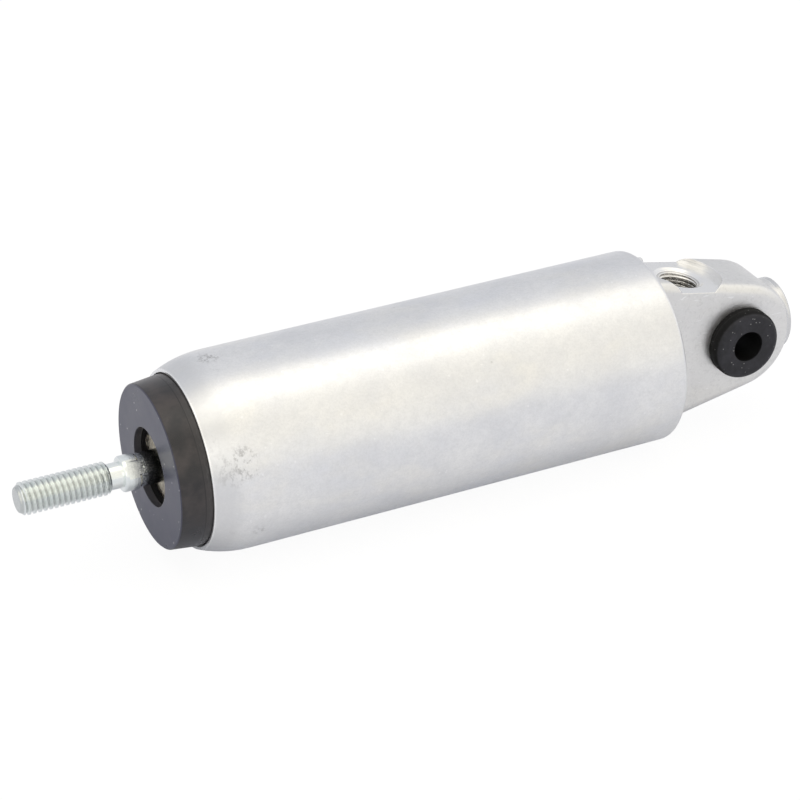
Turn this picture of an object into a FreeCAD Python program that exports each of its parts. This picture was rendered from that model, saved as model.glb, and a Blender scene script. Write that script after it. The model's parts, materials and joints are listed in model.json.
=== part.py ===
"""Single-acting, spring-return pneumatic cylinder with a rubber-bushed eye, in millimetres.

The origin is the centre of the eye. X runs along the cylinder towards the rod end, Y along the
eye's bore and Z up, to the side that carries the air port.
"""

import FreeCAD
import Part
import math
import os
import re
import Sketcher

from FreeCAD import Placement, Rotation, Vector

ALONG_X = Rotation(Vector(0, 1, 0), 90)
ALONG_Y = Rotation(Vector(1, 0, 0), -90)

# how closely an edge's place and size have to match the dimensions it is looked up by
NEAR = 0.01
ALMOST_ZERO = 1e-6

DIMENSIONS = {
    # how far cutting shapes run past what they cut, and joined shapes into each other
    "reach": 10.0,
    "overlap": 0.5,
    # housing
    "barrel_radius": 18.0,
    "barrel_back": 17.5,
    "barrel_back_round": 0.9,
    "bore_radius": 15.0,
    "bore_back": 21.5,
    "cap_seat": 101.0,
    "cap_recess_radius": 16.2,
    "swage_start": 101.5,
    "swage_inner_start": 104.0,
    "rim_front": 110.0,
    "rim_outer_radius": 16.2,
    "rim_inner_radius": 15.68,
    "lug_half_width": 7.2,
    "lug_root": 19.0,
    "lug_root_top": 16.15,
    "lug_root_bottom": -14.8,
    "lug_round": 2.0,
    "eye_centre_x": -0.5,
    "eye_centre_z": 0.0,
    "eye_radius": 10.8,
    "eye_bore_radius": 4.75,
    "stub_radius": 6.8,
    "stub_back": -11.6,
    "stub_length": 8.0,
    "stub_chamfer": 0.4,
    "stub_round": 0.8,
    # air port
    "port_centre_x": 9.5,
    "port_centre_z": 12.15,
    "port_tilt": 12.0,
    "port_face_radius": 8.0,
    "port_radius": 4.0,
    "port_sink_radius": 4.8,
    "port_sink_depth": 0.46,
    "port_depth": 9.0,
    "air_way_radius": 2.0,
    "air_way_height": 5.0,
    "air_way_start": 11.0,
    # rubber bush in the eye
    "bush_body_radius": 4.73,
    "bush_flange_radius": 6.75,
    "bush_half_length": 10.0,
    "bush_hole_radius": 3.0,
    "bush_round": 1.2,
    # end cap and what it holds
    "cap_back": 101.05,
    "cap_back_radius": 16.15,
    "cap_front": 115.55,
    "cap_front_radius": 14.92,
    "cap_edge": 0.25,
    "cap_hole_radius": 7.2,
    "cap_lip_back": 114.2,
    "cap_pocket_radius": 13.4,
    "cap_step": 110.0,
    "cap_mouth_radius": 13.9,
    "cap_groove_back": 101.9,
    "cap_groove_front": 103.9,
    "cap_groove_radius": 14.58,
    "cap_ring_radius": 15.38,
    "cap_ring_section": 0.79,
    "washer_front": 114.15,
    "washer_back": 113.1,
    "washer_radius": 13.3,
    "felt_front": 112.6,
    "felt_back": 110.6,
    "felt_radius": 10.0,
    "felt_hole_radius": 3.1,
    "plate_front": 109.95,
    "plate_back": 108.8,
    "plate_radius": 13.8,
    "plate_hole_radius": 7.6,
    "seat_back": 107.4,
    "seat_front": 108.75,
    "seat_radius": 13.8,
    "seat_hole_radius": 8.0,
    "sleeve_back": 79.5,
    "sleeve_front": 107.35,
    "sleeve_radius": 10.2,
    "sleeve_hole_radius": 8.6,
    # return spring
    "spring_back": 37.05,
    "spring_front": 107.35,
    "spring_coil_radius": 12.1,
    "spring_wire_radius": 1.0,
    "spring_turns": 9.0,
    # bump stop at the closed end of the bore
    "bump_front": 24.1,
    "bump_radius": 11.5,
    "bump_hole_radius": 8.0,
    # piston
    "piston_back": 28.2,
    "piston_front": 44.4,
    "piston_radius": 14.85,
    "piston_spring_floor": 37.0,
    "piston_spring_hub": 9.5,
    "piston_spring_wall": 13.8,
    "piston_pocket_back": 31.6,
    "piston_pocket_radius": 7.5,
    "piston_screw_radius": 2.52,
    "oil_groove_back": 29.4,
    "oil_groove_front": 31.4,
    "oil_groove_radius": 12.6,
    "oil_ring_radius": 14.94,
    "wear_groove_back": 32.6,
    "wear_groove_front": 35.6,
    "wear_groove_radius": 13.6,
    "wear_ring_radius": 14.97,
    "wear_ring_gap": 1.0,
    "ring_clearance": 0.05,
    # cup seal, its clamp plate and screw
    "cup_back": 23.6,
    "cup_floor": 26.2,
    "cup_front": 28.15,
    "cup_radius": 14.96,
    "cup_wall_radius": 14.66,
    "cup_heel_radius": 14.36,
    "cup_lip_inner_radius": 14.26,
    "cup_corner_back": 25.6,
    "cup_corner_radius": 13.3,
    "cup_floor_radius": 12.5,
    "cup_hole_radius": 2.6,
    "clamp_back": 24.2,
    "clamp_front": 26.15,
    "clamp_radius": 11.9,
    "screw_radius": 2.5,
    "screw_front": 30.8,
    "screw_head_back": 22.2,
    "screw_head_front": 24.15,
    "screw_head_radius": 4.0,
    # ball joint between piston and rod
    "ball_centre": 38.5,
    "ball_radius": 5.0,
    "socket_ball_radius": 5.06,
    "socket_radius": 7.42,
    "socket_back": 31.7,
    "retainer_front": 42.1,
    "retainer_mouth_radius": 4.2,
    "retainer_flare_radius": 4.7,
    "snap_back": 42.2,
    "snap_front": 43.2,
    "snap_groove_radius": 8.3,
    "snap_radius": 8.25,
    "snap_hole_radius": 6.6,
    "snap_gap": 5.0,
    # piston rod
    "rod_radius": 3.0,
    "collar_back": 118.3,
    "collar_front": 121.1,
    "collar_radius": 3.25,
    "collar_chamfer": 0.3,
    "collar_round": 0.45,
    "neck_radius": 2.35,
    "thread_back": 123.3,
    "thread_lead": 0.5,
    "thread_front": 139.0,
    "rod_tip": 140.0,
    "rod_tip_radius": 2.0,
    "rod_tip_edge": 0.35,
    "flat_back": 117.3,
    "flat_front": 120.3,
    "flat_half_width": 2.75,
    "flat_turn": 39.5,
}

doc = FreeCAD.newDocument("pneumatic_cylinder")
sheet = doc.addObject("Spreadsheet::Sheet", "Dims")
# the finished sub-parts, in the order they are made
finished = []


def fill_sheet():
    """Put every driving dimension in a cell of its own, with its name as the alias."""
    for row, (name, value) in enumerate(DIMENSIONS.items(), start=1):
        sheet.set("A%d" % row, name)
        sheet.set("B%d" % row, str(value))
        sheet.setAlias("B%d" % row, name)
    doc.recompute()


def dims(formula):
    """Turn a formula of plain names into an expression that reads the sheet."""
    return re.sub(r"[a-z]\w*", lambda m: ("Dims." if m[0] in DIMENSIONS else "") + m[0], formula)


def value_of(formula):
    """The number that a formula of plain names gives now."""
    return float(sheet.evalExpression(dims(formula)))


def bind(target, **formulas):
    """Bind properties of an object to the sheet; double underscores stand for dots."""
    for name, formula in formulas.items():
        target.setExpression(name.replace("__", "."), dims(formula))


def finish(feature, label):
    """Give a finished sub-part its own label and keep it for export."""
    feature.Label = label
    finished.append(feature)
    return feature


# ---- shapes along the cylinder's axis -------------------------------------------------------


def cylinder(name, radius, start, length, turn=ALONG_X):
    """A plain cylinder that starts at a place on the X axis."""
    shape = doc.addObject("Part::Cylinder", name)
    shape.Placement = Placement(Vector(), turn)
    bind(shape, Radius=radius, Height=length, Placement__Base__x=start)
    return shape


def block(name, low, size):
    """A box between formulas for its low corner and its size."""
    shape = doc.addObject("Part::Box", name)
    for side, formula in zip(("Length", "Width", "Height"), size):
        shape.setExpression(side, dims(formula))
    for direction, formula in zip("xyz", low):
        shape.setExpression("Placement.Base." + direction, dims(formula))
    return shape


def cut(name, base, tool):
    """The base with the tool taken away."""
    shape = doc.addObject("Part::Cut", name)
    shape.Base = base
    shape.Tool = tool
    return shape


def fuse(name, shapes):
    """Several shapes joined into one solid."""
    shape = doc.addObject("Part::MultiFuse", name)
    shape.Shapes = shapes
    shape.Refine = True
    return shape


def picked_edges(feature, wanted):
    """The numbers of a feature's edges that the test called wanted picks."""
    doc.recompute()
    numbers = [i for i, edge in enumerate(feature.Shape.Edges, start=1) if wanted(edge)]
    if not numbers:
        raise ValueError("no such edge on " + feature.Name)
    return numbers


def dress(kind, name, base, size, wanted):
    """A Part::Fillet or Part::Chamfer on the wanted edges of the base."""
    numbers = picked_edges(base, wanted)
    shape = doc.addObject(kind, name)
    shape.Base = base
    shape.Edges = [(number, value_of(size), value_of(size)) for number in numbers]
    return shape


# ---- sketches and turned parts --------------------------------------------------------------


def origin_plane(body, role):
    """One of a body's own origin planes."""
    return next(plane for plane in body.Origin.OriginFeatures if plane.Role == role)


def pin_point(sketch, item, point, place):
    """Fix one sketch point at two formulas, measured from the sketch's origin."""
    for kind, axis, formula in (("DistanceX", -2, place[0]), ("DistanceY", -1, place[1])):
        number = value_of(formula)
        if abs(number) < ALMOST_ZERO:
            sketch.addConstraint(Sketcher.Constraint("PointOnObject", item, point, axis))
            continue
        index = sketch.addConstraint(Sketcher.Constraint(kind, -1, 1, item, point, number))
        sketch.setExpression("Constraints[%d]" % index, dims(formula))


def arc_item(start, end, middle):
    """The arc from start to end around middle, the short way, and which end comes first."""
    radius = (start - middle).Length
    first = math.atan2(start.y - middle.y, start.x - middle.x)
    last = math.atan2(end.y - middle.y, end.x - middle.x)
    sweep = (last - first + math.pi) % (2 * math.pi) - math.pi
    circle = Part.Circle(middle, Vector(0, 0, 1), radius)
    if sweep > 0:
        return Part.ArcOfCircle(circle, first, first + sweep), True
    return Part.ArcOfCircle(circle, last, last - sweep), False


def draw_outline(sketch, corners, arcs):
    """Draw a closed outline through corners; arcs gives the centre of each curved side."""
    places = [Vector(value_of(a), value_of(b), 0) for a, b in corners]
    ends = []
    for i, start in enumerate(places):
        end = places[(i + 1) % len(places)]
        if i in arcs:
            middle = Vector(value_of(arcs[i][0]), value_of(arcs[i][1]), 0)
            shape, forward = arc_item(start, end, middle)
        else:
            shape, forward = Part.LineSegment(start, end), True
        item = sketch.addGeometry(shape, False)
        ends.append((item, (1, 2) if forward else (2, 1)))
    for i, (item, (first, last)) in enumerate(ends):
        following, (next_first, _) = ends[(i + 1) % len(ends)]
        joint = Sketcher.Constraint("Coincident", item, last, following, next_first)
        sketch.addConstraint(joint)
        pin_point(sketch, item, first, corners[i])
        if i in arcs:
            pin_arc_centre(sketch, item, arcs[i])


def pin_arc_centre(sketch, item, centre):
    """Hold an arc's centre along X only: its ends fix the rest."""
    number = value_of(centre[0])
    if abs(number) < ALMOST_ZERO:
        sketch.addConstraint(Sketcher.Constraint("PointOnObject", item, 3, -2))
        return
    index = sketch.addConstraint(Sketcher.Constraint("DistanceX", -1, 1, item, 3, number))
    sketch.setExpression("Constraints[%d]" % index, dims(centre[0]))


def new_sketch(body, name, role):
    """An empty sketch on one of the body's origin planes."""
    sketch = body.newObject("Sketcher::SketchObject", name)
    sketch.AttachmentSupport = [(origin_plane(body, role), "")]
    sketch.MapMode = "FlatFace"
    return sketch


def turned(name, corners, arcs=None, role="XZ_Plane", axis="H_Axis"):
    """A body turned about the cylinder's axis from corners given as (along, out)."""
    body = doc.addObject("PartDesign::Body", name)
    sketch = new_sketch(body, name + "_profile", role)
    draw_outline(sketch, corners, arcs or {})
    doc.recompute()
    turn = body.newObject("PartDesign::Revolution", name + "_turn")
    turn.Profile = sketch
    turn.ReferenceAxis = (sketch, [axis])
    turn.Angle = 360
    body.Tip = turn
    return body


def ring(name, back, front, outer, inner):
    """A turned ring with a rectangular section."""
    corners = [(back, inner), (front, inner), (front, outer), (back, outer)]
    return turned(name, corners)


def round_body(body, name, radius, wanted):
    """Add a fillet to a body, on the edges that the test called wanted picks."""
    base = body.Tip
    numbers = picked_edges(base, wanted)
    feature = body.newObject("PartDesign::Fillet", name)
    feature.Base = (base, ["Edge%d" % number for number in numbers])
    bind(feature, Radius=radius)
    body.Tip = feature


def circle_at(axis_place, radius):
    """A test for a full circle of that radius, centred there along X."""

    def wanted(edge):
        curve = edge.Curve
        if not isinstance(curve, Part.Circle):
            return False
        same_size = abs(curve.Radius - value_of(radius)) < NEAR
        return same_size and abs(curve.Center.x - value_of(axis_place)) < NEAR

    return wanted


# ---- housing --------------------------------------------------------------------------------


def barrel():
    """The turned tube with its closed back and the rim rolled in over the end cap."""
    corners = [
        ("barrel_back", "0"),
        ("bore_back", "0"),
        ("bore_back", "bore_radius"),
        ("cap_seat", "bore_radius"),
        ("cap_seat", "cap_recess_radius"),
        ("swage_inner_start", "cap_recess_radius"),
        ("rim_front", "rim_inner_radius"),
        ("rim_front", "rim_outer_radius"),
        ("swage_start", "barrel_radius"),
        ("barrel_back", "barrel_radius"),
    ]
    # the swage leaves the barrel smoothly, so its centre is straight in from where it starts
    drop = "(barrel_radius - rim_outer_radius)"
    run = "(rim_front - swage_start)"
    swage_radius = "(%s ^ 2 + %s ^ 2) / (2 * %s)" % (run, drop, drop)
    body = turned("barrel", corners, {7: ("swage_start", "barrel_radius - " + swage_radius)})
    wanted = circle_at("barrel_back", "barrel_radius")
    round_body(body, "barrel_back_fillet", "barrel_back_round", wanted)
    return body


def lug_outline(sketch):
    """The tapering eye lug: two straight flanks tangent to the round end."""
    centre = Vector(value_of("eye_centre_x"), value_of("eye_centre_z"), 0)
    radius = value_of("eye_radius")
    top = Vector(value_of("lug_root"), value_of("lug_root_top"), 0)
    bottom = Vector(value_of("lug_root"), value_of("lug_root_bottom"), 0)
    quarter = math.pi / 2
    # about how far each flank leans, in radians, until the tangents below settle it
    lean = 0.2
    circle = Part.Circle(centre, Vector(0, 0, 1), radius)
    arc = Part.ArcOfCircle(circle, quarter + lean, 3 * quarter - lean)
    round_end = sketch.addGeometry(arc, False)
    upper = sketch.addGeometry(Part.LineSegment(top, arc.StartPoint), False)
    lower = sketch.addGeometry(Part.LineSegment(arc.EndPoint, bottom), False)
    root = sketch.addGeometry(Part.LineSegment(bottom, top), False)
    sketch.addConstraint(Sketcher.Constraint("Tangent", upper, 2, round_end, 1))
    sketch.addConstraint(Sketcher.Constraint("Tangent", round_end, 2, lower, 1))
    sketch.addConstraint(Sketcher.Constraint("Coincident", lower, 2, root, 1))
    sketch.addConstraint(Sketcher.Constraint("Coincident", root, 2, upper, 1))
    pin_point(sketch, round_end, 3, ("eye_centre_x", "eye_centre_z"))
    pin_point(sketch, root, 1, ("lug_root", "lug_root_bottom"))
    pin_point(sketch, root, 2, ("lug_root", "lug_root_top"))
    size = sketch.addConstraint(Sketcher.Constraint("Radius", round_end, radius))
    sketch.setExpression("Constraints[%d]" % size, dims("eye_radius"))


def lug():
    """The eye lug padded both ways from the middle plane, with its long edges rounded."""
    body = doc.addObject("PartDesign::Body", "lug")
    sketch = new_sketch(body, "lug_profile", "XZ_Plane")
    lug_outline(sketch)
    pad = body.newObject("PartDesign::Pad", "lug_pad")
    pad.Profile = sketch
    pad.Midplane = True
    bind(pad, Length="2 * lug_half_width")
    body.Tip = pad
    side = value_of("lug_half_width")
    root = value_of("lug_root")

    def on_a_side(edge):
        box = edge.BoundBox
        flat = box.YLength < ALMOST_ZERO and abs(abs(box.YMin) - side) < ALMOST_ZERO
        return flat and box.XMin < root - NEAR

    round_body(body, "lug_fillet", "lug_round", on_a_side)
    return body


def stub():
    """The round turning centre left standing on the end of the eye, on the barrel's axis."""
    shaft = cylinder("stub_shaft", "stub_radius", "stub_back", "stub_length")
    wanted = circle_at("stub_back", "stub_radius")
    return dress("Part::Chamfer", "stub_end", shaft, "stub_chamfer", wanted)


def port_cutter(name, kind, low, height):
    """A cutter on the port's tilted axis, from low to low plus height above its face."""
    shape = doc.addObject(kind, name)
    shape.Placement = Placement(Vector(), Rotation(Vector(0, 1, 0), -value_of("port_tilt")))
    bind(
        shape,
        Height=height,
        Placement__Base__x="port_centre_x - (%s) * sin(port_tilt)" % low,
        Placement__Base__z="port_centre_z + (%s) * cos(port_tilt)" % low,
    )
    return shape


def port_cutters():
    """The milled face, the countersunk threaded hole, and the way through to the bore."""
    face = port_cutter("port_face", "Part::Cylinder", "0", "reach")
    bind(face, Radius="port_face_radius")
    hole = port_cutter("port_hole", "Part::Cylinder", "0 - port_depth", "port_depth + overlap")
    bind(hole, Radius="port_radius")
    sink = port_cutter("port_countersink", "Part::Cone", "0 - port_sink_depth", "port_sink_depth")
    bind(sink, Radius1="port_radius", Radius2="port_sink_radius")
    way_length = "bore_back - air_way_start + overlap"
    way = cylinder("air_way", "air_way_radius", "air_way_start", way_length)
    bind(way, Placement__Base__z="air_way_height")
    return [face, hole, sink, way]


def eye_cutter():
    """The hole through the eye for the rubber bush."""
    shape = cylinder("eye_bore", "eye_bore_radius", "0", "4 * lug_half_width", ALONG_Y)
    bind(shape, Placement__Base__y="0 - 2 * lug_half_width")
    return shape


def make_housing():
    """Barrel, lug and stub as one casting, with the eye and the port machined in it."""
    solid_barrel = barrel()
    bore = cylinder("bore_keep_out", "bore_radius", "bore_back", "reach")
    outside = fuse("housing_outside", [solid_barrel, cut("lug_trimmed", lug(), bore)])
    solid = fuse("housing_blank", [outside, stub()])
    first = value_of("stub_back + stub_chamfer + overlap")
    last = value_of("0 - eye_bore_radius")
    side = value_of("stub_radius") + NEAR

    def where_stub_meets_rim(edge):
        box = edge.BoundBox
        inside = box.XMin > first and box.XMax < last and max(-box.YMin, box.YMax) < side
        return inside and not isinstance(edge.Curve, (Part.Line, Part.Circle))

    rounded = dress("Part::Fillet", "housing_rounded", solid, "stub_round", where_stub_meets_rim)
    cutters = fuse("housing_cutters", port_cutters() + [eye_cutter()])
    return finish(cut("housing", rounded, cutters), "housing")


# ---- eye bush -------------------------------------------------------------------------------


def make_pivot_bush():
    """The flanged rubber bush that fills the eye, turned about Y."""
    corners = [
        ("bush_hole_radius", "0 - bush_half_length"),
        ("bush_flange_radius", "0 - bush_half_length"),
        ("bush_flange_radius", "0 - lug_half_width"),
        ("bush_body_radius", "0 - lug_half_width"),
        ("bush_body_radius", "lug_half_width"),
        ("bush_flange_radius", "lug_half_width"),
        ("bush_flange_radius", "bush_half_length"),
        ("bush_hole_radius", "bush_half_length"),
    ]
    body = turned("pivot_bush", corners, role="XY_Plane", axis="V_Axis")
    rim = value_of("bush_flange_radius")
    end = value_of("bush_half_length")

    def outer_rim(edge):
        curve = edge.Curve
        if not isinstance(curve, Part.Circle):
            return False
        return abs(curve.Radius - rim) < NEAR and abs(abs(curve.Center.y) - end) < NEAR

    round_body(body, "pivot_bush_fillet", "bush_round", outer_rim)
    return finish(body, "pivot_bush")


# ---- end cap and the parts in it ------------------------------------------------------------


def make_end_cap():
    """The black cap: a tapered plug with a lip round its wide rod hole."""
    corners = [
        ("cap_back", "cap_mouth_radius"),
        ("cap_back", "cap_back_radius"),
        ("cap_groove_back", "cap_back_radius"),
        ("cap_groove_back", "cap_groove_radius"),
        ("cap_groove_front", "cap_groove_radius"),
        ("cap_groove_front", "cap_back_radius"),
        ("swage_inner_start", "cap_back_radius"),
        ("cap_front - cap_edge", "cap_front_radius"),
        ("cap_front", "cap_front_radius - cap_edge"),
        ("cap_front", "cap_hole_radius"),
        ("cap_lip_back", "cap_hole_radius"),
        ("cap_lip_back", "cap_pocket_radius"),
        ("cap_step", "cap_pocket_radius"),
        ("cap_step", "cap_mouth_radius"),
    ]
    return finish(turned("end_cap", corners), "end_cap")


def make_cap_o_ring():
    """The O-ring that keeps dirt and water out between cap and housing."""
    shape = doc.addObject("Part::Torus", "cap_o_ring")
    shape.Placement = Placement(Vector(), ALONG_X)
    middle = "(cap_groove_back + cap_groove_front) / 2"
    bind(shape, Radius1="cap_ring_radius", Radius2="cap_ring_section", Placement__Base__x=middle)
    return finish(shape, "cap_o_ring")


def make_wiper_seal_washer():
    """The rubber washer between the cap's lip and the felt."""
    shape = ring("wiper_seal_washer", "washer_back", "washer_front", "washer_radius", "cap_hole_radius")
    return finish(shape, "wiper_seal_washer")


def make_rod_wiper_felt():
    """The felt disc that rides on the rod and closes the cap's wide hole."""
    shape = ring("rod_wiper_felt", "felt_back", "felt_front", "felt_radius", "felt_hole_radius")
    return finish(shape, "rod_wiper_felt")


def make_wiper_plate():
    """The steel washer that keeps the felt in the cap."""
    shape = ring("wiper_plate", "plate_back", "plate_front", "plate_radius", "plate_hole_radius")
    return finish(shape, "wiper_plate")


def make_spring_seat():
    """The steel washer that the spring and the sleeve bear on."""
    shape = ring("spring_seat", "seat_back", "seat_front", "seat_radius", "seat_hole_radius")
    return finish(shape, "spring_seat")


def make_stroke_sleeve():
    """The tube inside the spring that stops the piston at full stroke."""
    shape = ring("stroke_sleeve", "sleeve_back", "sleeve_front", "sleeve_radius", "sleeve_hole_radius")
    return finish(shape, "stroke_sleeve")


def make_bump_stop():
    """The rubber ring that the piston comes to rest on."""
    shape = ring("bump_stop", "bore_back", "bump_front", "bump_radius", "bump_hole_radius")
    return finish(shape, "bump_stop")


# ---- return spring --------------------------------------------------------------------------


def spring_path():
    """The wire's centre line: closed turns at both ends and even turns between them."""
    wire = value_of("spring_wire_radius")
    # the end turns lie this far inside the ends, so that grinding flattens them
    sunk = 0.6 * wire
    low = value_of("spring_back") + sunk
    high = value_of("spring_front") - sunk
    turns = value_of("spring_turns")
    radius = value_of("spring_coil_radius")
    # a closed turn lies just clear of the next one
    closed_rise = 2.1 * wire
    open_rise = (high - low - 2 * closed_rise) / (turns - 2)
    steps = 12
    # the pitch is averaged over this much of a turn each way, from this many places each way
    blend = 0.25
    places = 4

    def height(turn):
        near = min(turn, turns - turn)
        if near < 1:
            rise = closed_rise * near
        else:
            rise = closed_rise + open_rise * (near - 1)
        return low + rise if turn <= turns / 2 else high - rise

    def smooth_height(turn):
        """The mean height near a place on the coil, so that the pitch changes gently."""
        nearby = [turn + blend * k / places for k in range(-places, places + 1)]
        samples = [min(max(place, 0), turns) for place in nearby]
        return sum(height(sample) for sample in samples) / len(samples)

    points = []
    for i in range(round(turns * steps) + 1):
        turn = i / steps
        angle = 2 * math.pi * turn
        points.append(Vector(smooth_height(turn), radius * math.cos(angle), radius * math.sin(angle)))
    return points


def make_return_spring():
    """Round wire swept along the coil, with both ends ground flat."""
    curve = Part.BSplineCurve()
    curve.interpolate(spring_path())
    path = Part.Wire(curve.toShape())
    start = curve.value(curve.FirstParameter)
    direction = curve.tangent(curve.FirstParameter)[0]
    section = Part.Wire(Part.makeCircle(value_of("spring_wire_radius"), start, direction))
    coil = path.makePipeShell([section], True, True)
    low = value_of("spring_back")
    length = value_of("spring_front") - low
    room = Part.makeCylinder(value_of("bore_radius"), length, Vector(low, 0, 0), Vector(1, 0, 0))
    spring = doc.addObject("Part::Feature", "return_spring")
    spring.Shape = coil.common(room)
    return finish(spring, "return_spring")


# ---- piston ---------------------------------------------------------------------------------


def make_piston():
    """The piston: ring grooves outside, a spring pocket in front and the ball pocket within."""
    corners = [
        ("piston_back", "piston_screw_radius"),
        ("piston_back", "piston_radius"),
        ("oil_groove_back", "piston_radius"),
        ("oil_groove_back", "oil_groove_radius"),
        ("oil_groove_front", "oil_groove_radius"),
        ("oil_groove_front", "piston_radius"),
        ("wear_groove_back", "piston_radius"),
        ("wear_groove_back", "wear_groove_radius"),
        ("wear_groove_front", "wear_groove_radius"),
        ("wear_groove_front", "piston_radius"),
        ("piston_front", "piston_radius"),
        ("piston_front", "piston_spring_wall"),
        ("piston_spring_floor", "piston_spring_wall"),
        ("piston_spring_floor", "piston_spring_hub"),
        ("piston_front", "piston_spring_hub"),
        ("piston_front", "piston_pocket_radius"),
        ("snap_front", "piston_pocket_radius"),
        ("snap_front", "snap_groove_radius"),
        ("snap_back", "snap_groove_radius"),
        ("snap_back", "piston_pocket_radius"),
        ("piston_pocket_back", "piston_pocket_radius"),
        ("piston_pocket_back", "piston_screw_radius"),
    ]
    return finish(turned("piston", corners), "piston")


def make_piston_cup_seal():
    """The rubber cup whose lip the air presses against the bore."""
    corners = [
        ("cup_front", "cup_hole_radius"),
        ("cup_front", "cup_heel_radius"),
        ("cup_floor", "cup_wall_radius"),
        ("cup_back", "cup_radius"),
        ("cup_back", "cup_lip_inner_radius"),
        ("cup_corner_back", "cup_corner_radius"),
        ("cup_floor", "cup_floor_radius"),
        ("cup_floor", "cup_hole_radius"),
    ]
    return finish(turned("piston_cup_seal", corners), "piston_cup_seal")


def make_cup_clamp_plate():
    """The steel disc that clamps the cup seal to the piston."""
    shape = ring("cup_clamp_plate", "clamp_back", "clamp_front", "clamp_radius", "cup_hole_radius")
    return finish(shape, "cup_clamp_plate")


def make_cup_clamp_screw():
    """The hexagon-headed screw that holds the clamp plate."""
    start = "screw_head_front - overlap"
    shank = cylinder("clamp_screw_shank", "screw_radius", start, "screw_front - (%s)" % start)
    head = doc.addObject("Part::Prism", "clamp_screw_head")
    head.Polygon = 6
    head.Placement = Placement(Vector(), ALONG_X)
    height = "screw_head_front - screw_head_back"
    bind(head, Circumradius="screw_head_radius", Height=height, Placement__Base__x="screw_head_back")
    return finish(fuse("cup_clamp_screw", [shank, head]), "cup_clamp_screw")


def make_piston_felt_ring():
    """The oiled felt ring that keeps the bore greased."""
    back = "oil_groove_back + ring_clearance"
    front = "oil_groove_front - ring_clearance"
    inner = "oil_groove_radius + ring_clearance"
    return finish(ring("piston_felt_ring", back, front, "oil_ring_radius", inner), "piston_felt_ring")


def make_piston_wear_ring():
    """The split plastic band that guides the piston in the bore."""
    back = "wear_groove_back + ring_clearance"
    front = "wear_groove_front - ring_clearance"
    band = ring("wear_band", back, front, "wear_ring_radius", "wear_groove_radius + ring_clearance")
    slot = block(
        "wear_slot",
        ("wear_groove_back", "0 - wear_ring_gap / 2", "0 - 2 * reach"),
        ("wear_groove_front - wear_groove_back", "wear_ring_gap", "2 * reach"),
    )
    return finish(cut("piston_wear_ring", band, slot), "piston_wear_ring")


# ---- ball joint -----------------------------------------------------------------------------


def make_ball_seat():
    """The back half of the plastic socket, loose enough in the piston to turn."""
    corners = [
        ("socket_back", "0"),
        ("ball_centre - socket_ball_radius", "0"),
        ("ball_centre", "socket_ball_radius"),
        ("ball_centre", "socket_radius"),
        ("socket_back", "socket_radius"),
    ]
    arcs = {1: ("ball_centre", "0")}
    return finish(turned("ball_seat", corners, arcs), "ball_seat")


def make_ball_retainer():
    """The front half of the socket, which holds the ball in and lets the rod swing."""
    mouth = "ball_centre + sqrt(socket_ball_radius ^ 2 - retainer_mouth_radius ^ 2)"
    corners = [
        ("ball_centre", "socket_ball_radius"),
        (mouth, "retainer_mouth_radius"),
        ("retainer_front", "retainer_flare_radius"),
        ("retainer_front", "socket_radius"),
        ("ball_centre", "socket_radius"),
    ]
    arcs = {0: ("ball_centre", "0")}
    return finish(turned("ball_retainer", corners, arcs), "ball_retainer")


def make_retainer_snap_ring():
    """The internal snap ring that keeps both socket halves in the piston."""
    back = "snap_back + ring_clearance"
    front = "snap_front - ring_clearance"
    band = ring("snap_band", back, front, "snap_radius", "snap_hole_radius")
    gap = block(
        "snap_opening",
        ("snap_back", "0 - snap_gap / 2", "0 - 2 * reach"),
        ("snap_front - snap_back", "snap_gap", "2 * reach"),
    )
    return finish(cut("retainer_snap_ring", band, gap), "retainer_snap_ring")


# ---- piston rod -----------------------------------------------------------------------------


def rod_blank():
    """The turned rod: ball, shank, collar, undercut neck and the length for the thread."""
    shank_start = "ball_centre + sqrt(ball_radius ^ 2 - rod_radius ^ 2)"
    # the ball's outline is more than a quarter turn, so it is drawn as two arcs
    corners = [
        ("ball_centre - ball_radius", "0"),
        ("ball_centre", "ball_radius"),
        (shank_start, "rod_radius"),
        ("collar_back - collar_chamfer", "rod_radius"),
        ("collar_back", "collar_radius"),
        ("collar_front - collar_round", "collar_radius"),
        ("collar_front", "collar_radius - collar_round"),
        ("collar_front", "neck_radius"),
        ("thread_back", "neck_radius"),
        ("thread_back + thread_lead", "rod_radius"),
        ("thread_front", "rod_radius"),
        ("rod_tip - rod_tip_edge", "rod_tip_radius + rod_tip_edge"),
        ("rod_tip", "rod_tip_radius"),
        ("rod_tip", "0"),
    ]
    arcs = {0: ("ball_centre", "0"), 1: ("ball_centre", "0")}
    return turned("rod_blank", corners, arcs)


def rod_flats():
    """Two cutters that leave spanner flats behind the collar."""
    low = ("flat_back", "flat_half_width", "0 - reach")
    size = ("flat_front - flat_back", "reach", "2 * reach")
    near = block("flat_near", low, size)
    far = block("flat_far", low, size)
    bind(far, Placement__Base__y="0 - flat_half_width - reach")
    both = fuse("flat_pair", [near, far])
    turn = value_of("flat_turn")
    both.Placement = Placement(Vector(), Rotation(Vector(1, 0, 0), turn))
    return both


def make_piston_rod():
    """The plated rod with its ball, spanner flats and thread length."""
    return finish(cut("piston_rod", rod_blank(), rod_flats()), "piston_rod")


# ---- build, test and export -----------------------------------------------------------------


def check_shapes():
    """Stop with a plain message if any object is broken or any sub-part isn't a sound solid."""
    for item in doc.Objects:
        if "Invalid" in item.State or "Error" in item.State:
            raise ValueError("%s is in state %s" % (item.Name, item.State))
    for item in finished:
        shape = item.Shape
        if shape.isNull() or not shape.isValid() or len(shape.Solids) != 1:
            raise ValueError("%s is not one sound solid" % item.Label)


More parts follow.
